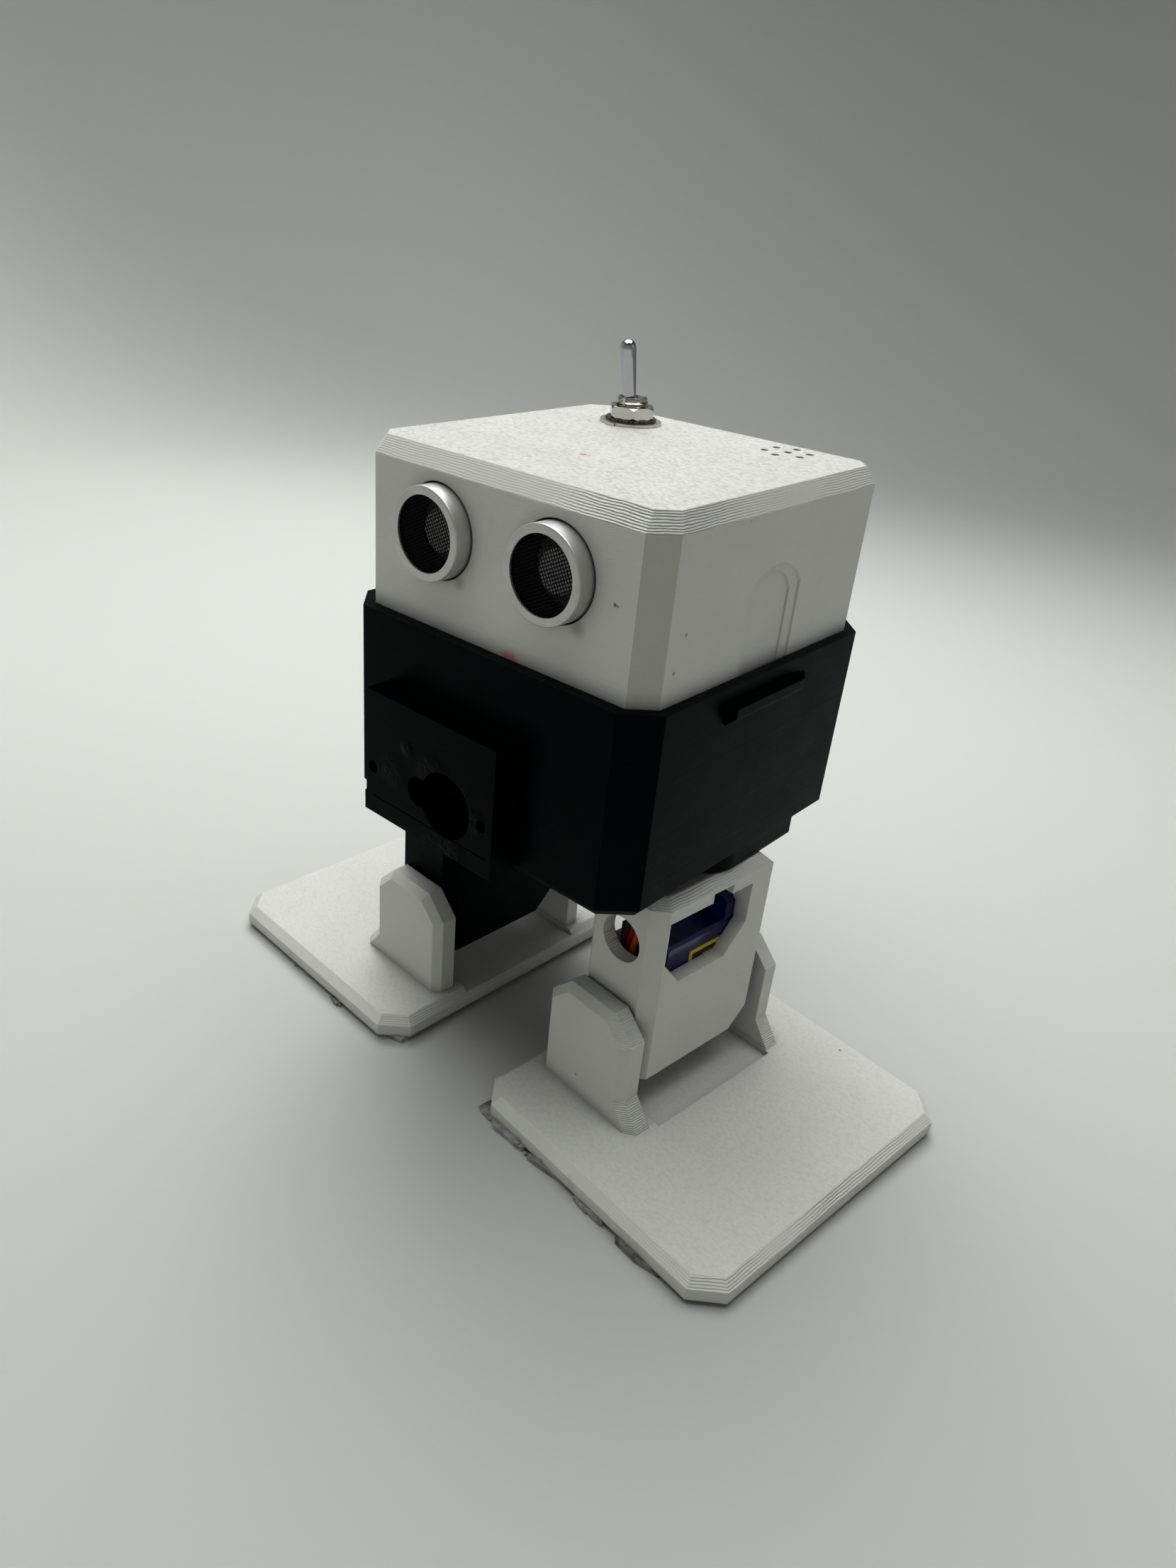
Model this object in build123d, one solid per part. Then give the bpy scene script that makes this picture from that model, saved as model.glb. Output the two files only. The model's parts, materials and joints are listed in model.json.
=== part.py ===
from build123d import *
import os
import math

# Two-legged walking robot. Millimetres, +Z up, front of the robot is -Y, its left side is +X.
# Everything is laid out about the vertical middle line of the body box and the floor (z = 0),
# and moved by ORIGIN at the end, so that the origin is the middle of the object's footprint.

# ---------------------------------------------------------------- driving dimensions
ORIGIN = (0.475, -4.519)                    # middle of the footprint, from the body's middle line
RIM_Z = 93.2                               # top rim of the body box above the floor

HEAD_X, HEAD_Y, HEAD_CUT = 33.27, 32.15, 3.75      # half sizes and corner cut of the head box
HEAD_TOP_X, HEAD_TOP_Y, HEAD_TOP_CUT = 31.7, 29.9, 2.8
HEAD_BEVEL_Z, HEAD_TOP_Z = 27.05, 30.1     # above the rim
SKIRT = 8.0                                # how far the head reaches down inside the body

BODY_X, BODY_Y, BODY_CUT = 35.28, 34.8, 5.5
BODY_DEEP = 37.8                           # body box below the rim
BODY_WALL_X, BODY_WALL_Y = 33.42, 32.30    # inner half sizes beside the skirt
BODY_LOW_Y = 31.0                          # inner half size below the skirt's ledge
BODY_FLOOR = 35.3                          # inner floor below the rim

HOLDER = (-22.8, 10.5, -39.9, -12.6)       # raised servo holder: x from, x to, front y, top z from the rim
HOLDER_AXIS = (-1.3, -28.05)               # big hole's x and z from the rim
HOLDER_R, HOLDER_LOBE_R, LOBE_OFF = 6.3, 3.0, 6.7
HOLDER_SCREWS = (-20.8, 7.8)
HOLDER_SCREW_R = 1.2

EYE_X, EYE_Z, CAN_R, CAN_LEN, CAN_FRONT = 13.22, 17.1, 8.0, 12.0, -35.45
SWITCH = (-14.7, 19.1)
SWITCH_PIVOT_Z = 29.5 + RIM_Z
SWITCH_TILT = 12.0                         # lever's lean to each side of upright
BUZZER = (17.9, 23.7)

HIP_X, HIP_Y = 27.0, -0.5
HIP_FACE_Z = RIM_Z - 33.2                  # hip servo's gearbox face
LEFT_YAW, RIGHT_YAW = -6.0, -3.0           # legs' turn about +Z as the object stands
PLINTH_R, PLINTH_BACK, PLINTH_Z = 8.2, 19.0, RIM_Z - 39.6

# legs and feet are laid out from the hip shaft: x outwards, y to the rear
LEG = (-8.8, 9.4, -19.4, 12.0, 12.1, 53.3)
LEG_MID = 0.3
ANKLE_Z = 22.5
ANKLE_FACE_Y = 10.5
FOOT = (-14.76, 46.65, -39.2, 33.05)
FOOT_CUT, PLATE_LO, PLATE_RIDGE, PLATE_TOP, PLATE_BEVEL = 5.0, 1.2, 3.63, 5.4, 1.77
UP_FRONT, UP_REAR, UP_TOP = (-24.9, -19.9), (15.8, 20.8), 28.9
PIN_R, PIN_HOLE_R = 2.5, 2.57

os.makedirs("parts", exist_ok=True)
PARTS = {}


# ---------------------------------------------------------------- small helpers
def box(x0, x1, y0, y1, z0, z1):
    return Pos((x0 + x1) / 2, (y0 + y1) / 2, (z0 + z1) / 2) * Box(x1 - x0, y1 - y0, z1 - z0)


def cyl_z(x, y, z0, z1, r):
    return Pos(x, y, (z0 + z1) / 2) * Cylinder(r, z1 - z0)


def cyl_y(x, z, y0, y1, r):
    return Pos(x, (y0 + y1) / 2, z) * Rot(90, 0, 0) * Cylinder(r, y1 - y0)


def face(pts):
    return make_face(Polyline(*pts, close=True))


def slab(pts, z0, z1):
    return extrude(Pos(0, 0, z0) * face(pts), amount=z1 - z0)


def slab_xz(pts, y0, y1):
    # outline in X and Z, thickness along Y
    return Rot(90, 0, 0) * Pos(0, 0, -y1) * extrude(face(pts), amount=y1 - y0)


def slab_yz(pts, x0, x1):
    # outline in Y and Z, thickness along X
    return Rot(0, 0, 90) * Rot(90, 0, 0) * Pos(0, 0, x0) * extrude(face(pts), amount=x1 - x0)


def octagon(hx, hy, c):
    return [(-hx + c, -hy), (hx - c, -hy), (hx, -hy + c), (hx, hy - c),
            (hx - c, hy), (-hx + c, hy), (-hx, hy - c), (-hx, -hy + c)]


def taper(low, z0, high, z1):
    return loft([Pos(0, 0, z0) * face(low), Pos(0, 0, z1) * face(high)], ruled=True)


def cut_rect(x0, x1, y0, y1, cf, cr):
    # rectangle with cut corners: cf at the front (y0), cr at the rear
    return [(x0 + cf, y0), (x1 - cf, y0), (x1, y0 + cf), (x1, y1 - cr),
            (x1 - cr, y1), (x0 + cr, y1), (x0, y1 - cr), (x0, y0 + cf)]


def keep(name, thing, place=None):
    shape = thing if place is None else place * thing
    PARTS[name] = Pos(-ORIGIN[0], -ORIGIN[1], 0) * shape


def group(*things):
    return Compound([s for t in things for s in t.solids()])


# ---------------------------------------------------------------- servo, in its own frame
# shaft on +Z, gearbox face at z = 0, the long side of the case runs to +X
S_W = 6.05                                  # half width
S_X0, S_X1 = -6.1, 16.7
S_DEEP, S_CAP, S_DECK, S_COVER = -22.5, -16.2, -4.6, -3.3
S_TAB_LO, S_TAB_HI, S_TAB_MID, S_TAB_HALF, S_HOLES = -6.5, -4.0, 5.3, 16.1, 14.0
S_BOSS_R, S_LOBE_R, S_BOSS = 5.9, 2.8, 4.0
SHAFT_R, SHAFT_BORE = 2.35, 2.43


def servo_cap():
    body = box(S_X0, S_X1, -S_W, S_W, S_DEEP, S_CAP)
    body = chamfer(body.edges().filter_by(Axis.Z), 0.6)
    return body - box(S_X0 + 1.2, S_X1 - 1.2, -S_W + 1.1, S_W - 1.1, S_DEEP + 1.2, S_CAP + 1)


def servo_case():
    body = box(S_X0, S_X1, -S_W, S_W, S_CAP, S_COVER)
    body = chamfer(body.edges().filter_by(Axis.Z), 0.6)
    tab = box(S_TAB_MID - S_TAB_HALF, S_TAB_MID + S_TAB_HALF, -5.9, 5.9, S_TAB_LO, S_TAB_HI)
    tab = chamfer(tab.edges().filter_by(Axis.Z), 1.0)
    body = body + tab
    body -= box(S_X0 + 1.2, S_X1 - 1.2, -S_W + 1.1, S_W - 1.1, S_CAP - 1, S_DECK - 1.2)
    for s in (-1, 1):
        hx = S_TAB_MID + s * S_HOLES
        body -= cyl_z(hx, 0, S_TAB_LO - 1, S_TAB_HI + 1, 1.05)
        body -= box(min(hx, hx + s * 4), max(hx, hx + s * 4), -0.55, 0.55, S_TAB_LO - 1, S_TAB_HI + 1)
    # opening for the leads, low on the shaft end
    body -= box(S_X0 - 1, S_X0 + 2, -2.3, 2.3, S_CAP - 1, S_CAP + 2.2)
    return body


def servo_gearbox():
    body = box(S_X0, S_X1, -S_W, S_W, S_COVER, 0)
    body = chamfer(body.edges().filter_by(Axis.Z), 0.6)
    body += cyl_z(0, 0, -0.5, S_BOSS, S_BOSS_R)
    body += cyl_z(LOBE_OFF, 0, -0.5, S_BOSS, S_LOBE_R)
    body -= box(S_X0 + 1.1, S_X1 - 1.1, -S_W + 1.1, S_W - 1.1, S_COVER - 1, -1.1)
    body -= cyl_z(0, 0, -2, S_BOSS + 1, SHAFT_BORE)
    return body


def servo_shaft():
    body = cyl_z(0, 0, -3.0, S_BOSS + 3.2, SHAFT_R) + cyl_z(0, 0, -3.1, -1.3, 4.6)
    return body - cyl_z(0, 0, S_BOSS - 2, S_BOSS + 4, 1.0)


def servo_horn(length):
    # hub over the shaft and one arm along +X
    z0, z1, z2, z3 = S_BOSS + 0.2, S_BOSS + 2.75, S_BOSS + 3.2, S_BOSS + 4.25
    body = cyl_z(0, 0, z0, z3, 3.4)
    body += slab([(0, -3.0), (length, -2.0), (length, 2.0), (0, 3.0)], z1, z3)
    body += cyl_z(length, 0, z1, z3, 2.0)
    body -= cyl_z(0, 0, z0 - 1, z2, SHAFT_R)
    body -= cyl_z(0, 0, z2 - 1, z3 + 1, 1.05)
    d = length
    while d > 5:
        body -= cyl_z(d, 0, z1 - 1, z3 + 1, 0.5)
        d -= 2.2
    return body


def horn_screw():
    z = S_BOSS + 4.25
    body = cyl_z(0, 0, z, z + 1.5, 2.1) + cyl_z(0, 0, z - 5.0, z + 0.2, 1.0)
    body -= box(-1.5, 1.5, -0.3, 0.3, z + 0.9, z + 2)
    return body - box(-0.3, 0.3, -1.5, 1.5, z + 0.9, z + 2)


def tab_screw(x):
    # driven towards +Z through the tab, head below it
    body = cyl_z(x, 0, S_TAB_LO - 1.6, S_TAB_LO, 2.0) + cyl_z(x, 0, S_TAB_LO - 0.2, S_TAB_HI + 4.5, 0.9)
    body -= box(x - 1.5, x + 1.5, -0.3, 0.3, S_TAB_LO - 2, S_TAB_LO - 1)
    return body - box(x - 0.3, x + 0.3, -1.5, 1.5, S_TAB_LO - 2, S_TAB_LO - 1)


def hip_place(side):
    # servo frame to body: shaft down, long side to the rear
    return Pos(side * HIP_X, HIP_Y, HIP_FACE_Z) * Rot(0, 0, 90) * Rot(180, 0, 0)


# ---------------------------------------------------------------- body shell (black)
z_b = RIM_Z - BODY_DEEP
outline = octagon(BODY_X, BODY_Y, BODY_CUT)
body = slab(outline, z_b + 1.8, RIM_Z) + taper(octagon(BODY_X - 1.5, BODY_Y - 1.5, BODY_CUT - 0.8), z_b, outline, z_b + 1.8)
hx0, hx1, hy, hz = HOLDER
body += box(hx0, hx1, hy, -BODY_Y + 2, z_b, RIM_Z + hz)
body += box(hx0 - 0.4, hx0 + 1, hy, -BODY_Y + 1, z_b, RIM_Z - 33.9)
for side in (-1, 1):
    px = side * HIP_X
    body += cyl_z(px, HIP_Y, PLINTH_Z, z_b + 2.2, PLINTH_R)
    body += box(px - PLINTH_R, px + PLINTH_R, HIP_Y, PLINTH_BACK, PLINTH_Z, z_b + 2.2)
    # snap bulge: level top, upright outer face, sloping underside and sloping rear end
    xs = [side * v for v in (BODY_X - 1.0, BODY_X + 2.0, BODY_X + 2.0, BODY_X)]
    bulge = slab_xz([(xs[0], RIM_Z - 3.3), (xs[1], RIM_Z - 3.3), (xs[2], RIM_Z - 5.05), (xs[3], RIM_Z - 6.95), (xs[0], RIM_Z - 6.95)], -12, 12)
    bulge -= slab([(side * (BODY_X + 3), 7.05), (side * (BODY_X + 3), 13), (side * BODY_X, 13), (side * BODY_X, 12)], RIM_Z - 8, RIM_Z - 2)
    body += bulge
# inside: room for the skirt, ledge, floor
body -= slab(octagon(BODY_WALL_X, BODY_WALL_Y, HEAD_CUT + 0.1), RIM_Z - SKIRT - 0.05, RIM_Z + 1)
body -= slab(octagon(BODY_WALL_X, BODY_LOW_Y, HEAD_CUT + 0.1), RIM_Z - BODY_FLOOR, RIM_Z - SKIRT + 1)
for side in (-1, 1):
    a, b = sorted((side * 33.0, side * 35.7))
    body -= box(a, b, -10.2, 8.2, RIM_Z - 6.2, RIM_Z - 3.9)
# posts under the hip servos' tabs, pilot holes, shaft holes, lead holes
for side in (-1, 1):
    a, b = sorted((side * 20.9, side * 33.9))
    body += box(a, b, HIP_Y - 12.6, HIP_Y - 6.3, RIM_Z - 36, HIP_FACE_Z - S_TAB_HI - 0.02)
    body += box(a, b, HIP_Y + 16.9, HIP_Y + 23.0, RIM_Z - 36, HIP_FACE_Z - S_TAB_HI - 0.02)
    for dy in (S_TAB_MID - S_HOLES, S_TAB_MID + S_HOLES):
        body -= cyl_z(side * HIP_X, HIP_Y + dy, HIP_FACE_Z - 0.9, HIP_FACE_Z + 6, 0.9)
    body -= cyl_z(side * HIP_X, HIP_Y, PLINTH_Z - 1, RIM_Z - 34, S_BOSS_R + 0.2)
    body -= cyl_z(side * HIP_X, HIP_Y + LOBE_OFF, PLINTH_Z - 1, RIM_Z - 34, S_LOBE_R + 0.2)
    body -= box(side * HIP_X - 4, side * HIP_X + 4, -20.5, -15.5, z_b - 1, RIM_Z - 34)
# servo holder: pocket from inside, shaped hole, two screw holes, fine groove
ax, az = HOLDER_AXIS[0], RIM_Z + HOLDER_AXIS[1]
body -= box(ax - 16.8, ax + 6.4, hy + 1.5, -BODY_LOW_Y + 1, az - 6.2, az + 6.2)
body -= cyl_y(ax, az, hy - 1, hy + 3, HOLDER_R)
body -= cyl_y(ax - LOBE_OFF, az, hy - 1, hy + 3, HOLDER_LOBE_R)
for sx in HOLDER_SCREWS:
    body -= cyl_y(sx, az, hy - 1, -BODY_LOW_Y + 1, HOLDER_SCREW_R)
body -= box(-20.8, 9.5, hy - 0.1, hy + 0.3, RIM_Z - 34.15, RIM_Z - 33.85)
keep("body_shell", body)

# ---------------------------------------------------------------- head shell (white)
def arch_cut(side, y0, y1, top, depth, slope):
    # pocket in a cheek: depth below the face, its border sloping over slope
    wires = []
    for x, g in ((HEAD_X + depth, -slope), (HEAD_X - depth, slope)):
        a, b, t, z0 = y0 + g, y1 - g, RIM_Z + top - g, RIM_Z - 1.5
        p = [(side * x, a, z0), (side * x, b, z0), (side * x, b, t - 4.2), (side * x, (a + b) / 2, t), (side * x, a, t - 4.2)]
        wires.append(Wire([Edge.make_line(p[0], p[1]), Edge.make_line(p[1], p[2]), Edge.make_three_point_arc(p[2], p[3], p[4]), Edge.make_line(p[4], p[0])]))
    return Solid.make_loft(wires, True)


low, high = octagon(HEAD_X, HEAD_Y, HEAD_CUT), octagon(HEAD_TOP_X, HEAD_TOP_Y, HEAD_TOP_CUT)
head = slab(low, RIM_Z - SKIRT, RIM_Z + HEAD_BEVEL_Z) + taper(low, RIM_Z + HEAD_BEVEL_Z, high, RIM_Z + HEAD_TOP_Z)
head -= slab(octagon(HEAD_X - 2.0, HEAD_Y - 2.0, HEAD_CUT - 0.8), RIM_Z - SKIRT - 1, RIM_Z + HEAD_TOP_Z - 2.5)
for side in (-1, 1):
    head -= cyl_y(side * EYE_X, RIM_Z + EYE_Z, -HEAD_Y - 2, -HEAD_Y + 4, CAN_R + 0.3)
    # tongue that clicks into the body's bulge
    xs = [side * v for v in (HEAD_X - 1.5, HEAD_X, HEAD_X + 1.5, HEAD_X + 1.5, HEAD_X)]
    head += slab_xz([(xs[0], RIM_Z - 6.0), (xs[1], RIM_Z - 6.0), (xs[2], RIM_Z - 5.0), (xs[3], RIM_Z - 4.6), (xs[4], RIM_Z - 4.1), (xs[0], RIM_Z - 4.1)], -9.8, 7.8)
    # shallow arched panel on the cheek, in two steps towards the rear
    head -= arch_cut(side, -7.6, 8.0, 18.0, 0.26, 0.35)
    head -= arch_cut(side, -6.9, 5.5, 17.1, 0.52, 0.6)
head -= cyl_z(*SWITCH, RIM_Z + 26, RIM_Z + 32, 3.15)
for hx_, hy_ in ((17.9, 23.7), (14.3, 21.6), (21.2, 25.7), (14.3, 25.6), (17.5, 27.4), (17.7, 19.7), (21.4, 21.9)):
    head -= cyl_z(hx_, hy_, RIM_Z + 26, RIM_Z + 32, 0.72)
keep("head_shell", head)

# ---------------------------------------------------------------- eyes: ultrasonic sensor
board_y = CAN_FRONT + CAN_LEN
for side, word in ((1, "left"), (-1, "right")):
    ex, ez = side * EYE_X, RIM_Z + EYE_Z
    can = cyl_y(ex, ez, CAN_FRONT, board_y, CAN_R)
    can = fillet(can.edges().filter_by(GeomType.CIRCLE).sort_by(Axis.Y)[0], 0.3)
    can -= cyl_y(ex, ez, CAN_FRONT + 0.4, board_y + 1, 7.4)
    can -= cyl_y(ex, ez, CAN_FRONT - 1, CAN_FRONT + 2, 6.5)
    keep("sensor_can_" + word, can)
    keep("sensor_mesh_" + word, group(cyl_y(ex, ez, CAN_FRONT + 0.5, CAN_FRONT + 0.8, 7.3),
                                      cyl_y(ex, ez, CAN_FRONT + 2.2, board_y - 0.05, 6.4)))
board = box(-22.5, 22.5, board_y, board_y + 1.6, RIM_Z + 7.0, RIM_Z + 27.0)
for sx in (-1, 1):
    for sz in (9.0, 25.0):
        board -= cyl_y(sx * 20.8, RIM_Z + sz, board_y - 1, board_y + 3, 1.0)
board += box(-5.1, 5.1, board_y + 1.5, board_y + 4.0, RIM_Z + 7.3, RIM_Z + 9.8)
board += box(-3.4, 3.4, board_y - 3.4, board_y + 0.1, RIM_Z + 20.6, RIM_Z + 24.6)
keep("sensor_board", board)

# ---------------------------------------------------------------- toggle switch
sx, sy = SWITCH
top = RIM_Z + HEAD_TOP_Z
keep("toggle_body", group(box(sx - 4, sx + 4, sy - 6.5, sy + 6.5, top - 12.0, top - 2.5)
                          + box(sx - 1.3, sx + 1.3, sy - 5.2, sy - 4.4, top - 16.0, top - 11.5)
                          + box(sx - 1.3, sx + 1.3, sy - 0.4, sy + 0.4, top - 16.0, top - 11.5)
                          + box(sx - 1.3, sx + 1.3, sy + 4.4, sy + 5.2, top - 16.0, top - 11.5)))
bush = cyl_z(sx, sy, top - 2.5, RIM_Z + 34.9, 3.05)
bush = chamfer(bush.edges().filter_by(GeomType.CIRCLE).sort_by(Axis.Z)[-1], 0.3)
bush -= cyl_z(sx, sy, SWITCH_PIVOT_Z - 1.6, SWITCH_PIVOT_Z + 0.6, 1.75)
bush -= Pos(sx, sy, SWITCH_PIVOT_Z + 0.5 + (RIM_Z + 35.0 - SWITCH_PIVOT_Z - 0.5) / 2) * Cone(1.7, 2.68, RIM_Z + 35.0 - SWITCH_PIVOT_Z - 0.5)
bush -= box(sx - 0.4, sx + 0.4, sy - 4, sy - 2.72, top - 1, RIM_Z + 36)
keep("toggle_bushing", bush)
washer = cyl_z(sx, sy, top, top + 0.5, 5.9) - cyl_z(sx, sy, top - 1, top + 2, 3.1)
washer += box(sx - 0.32, sx + 0.32, sy - 3.5, sy - 2.78, top, top + 0.5)
washer += box(sx - 1.0, sx + 1.0, sy - 6.4, sy - 5.5, top, top + 0.5)
keep("toggle_tab_washer", washer)
star = cyl_z(sx, sy, top + 0.5, top + 1.0, 4.9)
for k in range(14):
    a = 2 * math.pi * k / 14
    star -= cyl_z(sx + 5.0 * math.cos(a), sy + 5.0 * math.sin(a), top, top + 2, 0.55)
star -= cyl_z(sx, sy, top, top + 2, 3.1)
keep("toggle_star_washer", star)
hexa = [(4.62 * math.cos(math.radians(60 * k + 12)), 4.62 * math.sin(math.radians(60 * k + 12))) for k in range(6)]
nut = Pos(sx, sy, 0) * slab(hexa, top + 1.0, top + 3.2)
nut &= Pos(sx, sy, top + 2.1) * chamfer(Cylinder(4.62, 2.2).edges().filter_by(GeomType.CIRCLE), 0.45)
nut -= cyl_z(sx, sy, top, top + 5, 3.08)
keep("toggle_nut", nut)
lever = Pos(0, 0, 0) * Sphere(1.65)
lever &= box(-2, 2, -2, 2, -1.4, 2)
lever += Pos(0, 0, 6.6) * Cone(1.1, 1.5, 13.2)
lever += Pos(0, 0, 13.2 + 0.75) * Cylinder(1.5, 1.5) + Pos(0, 0, 14.7) * Sphere(1.5)
keep("toggle_lever", lever, Pos(sx, sy, SWITCH_PIVOT_Z) * Rot(SWITCH_TILT, 0, 0))

# ---------------------------------------------------------------- electronics inside
bx, by = BUZZER
keep("buzzer", cyl_z(bx, by, top - 2.5 - 8.5, top - 2.5, 6.0) - cyl_z(bx, by, top - 4.5, top, 1.0))
e0 = RIM_Z - 4.6
expansion = box(-28.5, 28.5, -27, 27, e0, e0 + 1.6)
expansion += box(-9.1, -6.6, -20, 20, e0 + 1.5, e0 + 10) + box(6.6, 9.1, -20, 20, e0 + 1.5, e0 + 10)
expansion += box(-27, -19.5, -19, 19, e0 + 1.5, e0 + 9.5) + box(19.5, 27, -19, 19, e0 + 1.5, e0 + 9.5)
keep("expansion_board", expansion)
keep("controller_board", box(-9, 9, -22.5, 22.5, e0 + 10, e0 + 11.6)
     + box(-3.9, 3.9, 17.0, 24.0, e0 + 11.5, e0 + 15.4) + box(-3.5, 3.5, -6.0, 1.0, e0 + 11.5, e0 + 12.6))
b0 = RIM_Z - 35.3
holder = box(-15.8, 15.8, -27.7, -26.0, b0, b0 + 29.5) + box(-15.8, 15.8, 28.1, 29.8, b0, b0 + 29.5)
holder += box(-15.8, 15.8, -27, 29, b0 + 14.4, b0 + 15.6)
for s in (-1, 1):
    a, b = sorted((s * 14.9, s * 15.8))
    holder += box(a, b, -27, 29, b0 + 3.5, b0 + 26)
keep("battery_holder", holder)
cells = []
for cx in (-7.4, 7.4):
    for k, cz in enumerate((b0 + 7.3, b0 + 22.7)):
        s = 1 if (k == 0) == (cx < 0) else -1
        cells.append(cyl_y(cx, cz, 1.05 - 25.0, 1.05 + 25.0, 7.0) + cyl_y(cx, cz, *sorted((1.05 + s * 24.9, 1.05 + s * 26.4)), 2.7))
keep("battery_cells", group(*cells))

# ---------------------------------------------------------------- hip servos, legs, feet
screws = []
for side, word, yaw in ((1, "left", LEFT_YAW), (-1, "right", RIGHT_YAW)):
    place = hip_place(side)
    keep("hip_servo_cap_" + word, servo_cap(), place)
    keep("hip_servo_case_" + word, servo_case(), place)
    keep("hip_servo_gearbox_" + word, servo_gearbox(), place)
    screws += [place * tab_screw(S_TAB_MID - S_HOLES), place * tab_screw(S_TAB_MID + S_HOLES)]

    # everything below turns with the leg; x outwards, so the right leg is the mirror image
    leg_at = Pos(side * HIP_X, HIP_Y, 0) * Rot(0, 0, yaw)
    hip_down = Pos(0, 0, HIP_FACE_Z) * Rot(0, 0, -90) * Rot(180, 0, 0)
    keep("hip_shaft_" + word, servo_shaft(), leg_at * hip_down)
    keep("hip_horn_" + word, servo_horn(10.6), leg_at * hip_down)
    keep("hip_horn_screw_" + word, horn_screw(), leg_at * hip_down)

    def own(shape):
        return shape if side > 0 else mirror(shape, Plane.YZ)

    x0, x1, y0, y1, z0, z1 = LEG
    m = LEG_MID
    shell = slab(cut_rect(x0, x1, y0, y1, 2.7, 0.01), z0, z1 - 2.0)
    shell += taper(cut_rect(x0, x1, y0, y1, 2.7, 0.01), z1 - 2.0, cut_rect(x0 + 2, x1 - 2, y0 + 2, y1 - 2, 1.5, 0.01), z1)
    shell &= slab_yz([(y0 - 1, z0), (y1 - 4.4, z0), (y1, z0 + 4.4), (y1, z1 + 1), (y0 - 1, z1 + 1)], x0 - 1, x1 + 1)
    # cavity open at the bottom, and the slot in the thick rear wall for the gearbox
    shell -= box(m - 6.2, m + 6.2, y0 + 3.0, 6.5, z0 - 1, 48.8)
    shell -= box(m - 6.2, m + 6.2, 5.5, y1 + 1, z0 - 1, 39.5)
    # side windows with cut lower corners and a notch in the top edge
    win = slab_yz([(-16.4, 39.4), (-11.8, 33.7), (1.1, 33.7), (6.4, 39.7), (6.4, 48.6), (0.5, 48.6),
                   (0.5, 50.6), (-5.0, 50.6), (-5.0, 48.6), (-16.4, 48.6)], x0 - 1, x1 + 1)
    shell -= win
    shell -= cyl_y(0.79, 41.64, y0 - 1, y0 + 4, 4.65)
    # recess and hole for the hip horn, slot for the leads, hole for the front pin
    shell -= cyl_z(0, 0, z1 - 1.6, z1 + 1, 3.6)
    shell -= slab([(-3.2, 0), (-2.2, -10.6), (2.2, -10.6), (3.2, 0)], z1 - 1.6, z1 + 1)
    shell -= cyl_z(0, -10.6, z1 - 1.6, z1 + 1, 2.2)
    shell -= cyl_z(0, 0, 48, z1, 2.5)
    shell -= box(-2.4, 3.0, -15.7, -13.3, 48, z1 + 1)
    shell -= cyl_y(m, ANKLE_Z, y0 - 1, y0 + 4, PIN_HOLE_R)
    shell -= cyl_y(m, ANKLE_Z + S_TAB_MID + S_HOLES, 6, 11, 0.9)
    keep("leg_shell_" + word, leg_at * own(shell))

    # ankle servo: shaft to the rear, long side up
    ankle = Pos(m, ANKLE_FACE_Y, ANKLE_Z) * Rot(0, -90, 0) * Rot(-90, 0, 0)
    ankle = Plane(origin=(side * m, ANKLE_FACE_Y, ANKLE_Z), x_dir=(0, 0, 1), z_dir=(0, 1, 0)).location
    keep("ankle_servo_cap_" + word, servo_cap(), leg_at * ankle)
    keep("ankle_servo_case_" + word, servo_case(), leg_at * ankle)
    keep("ankle_servo_gearbox_" + word, servo_gearbox(), leg_at * ankle)
    keep("ankle_servo_screw_" + word, tab_screw(S_TAB_MID + S_HOLES), leg_at * ankle)
    # the label is on the +X side of both servos
    lx = side * m + S_W
    keep("servo_label_" + word, box(lx, lx + 0.08, -5.6, 5.6, 18.4, 35.9), leg_at)
    # three leads, from the low end of the case up the front of the cap to the slot in the leg's top
    for k, colour in enumerate(("brown", "red", "orange")):
        d = (k - 1) * 1.35
        pts = [(side * m + d, -4.6, 17.2), (side * m + d, -4.6, 14.2), (side * m + d, -14.5, 14.2),
               (side * m + d - 3.2, -14.5, 30.5), (side * m + d * 0.92, -14.5, 45.5), (side * m + d * 0.92, -14.5, 52.6)]
        path = FilletPolyline(*pts, radius=[1.3, 2.0, 9.0, 9.0])
        lead = sweep(Plane(origin=pts[0], z_dir=(0, 0, -1)) * Circle(0.6), path=path)
        keep("lead_%s_%s" % (colour, word), lead, leg_at)

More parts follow.
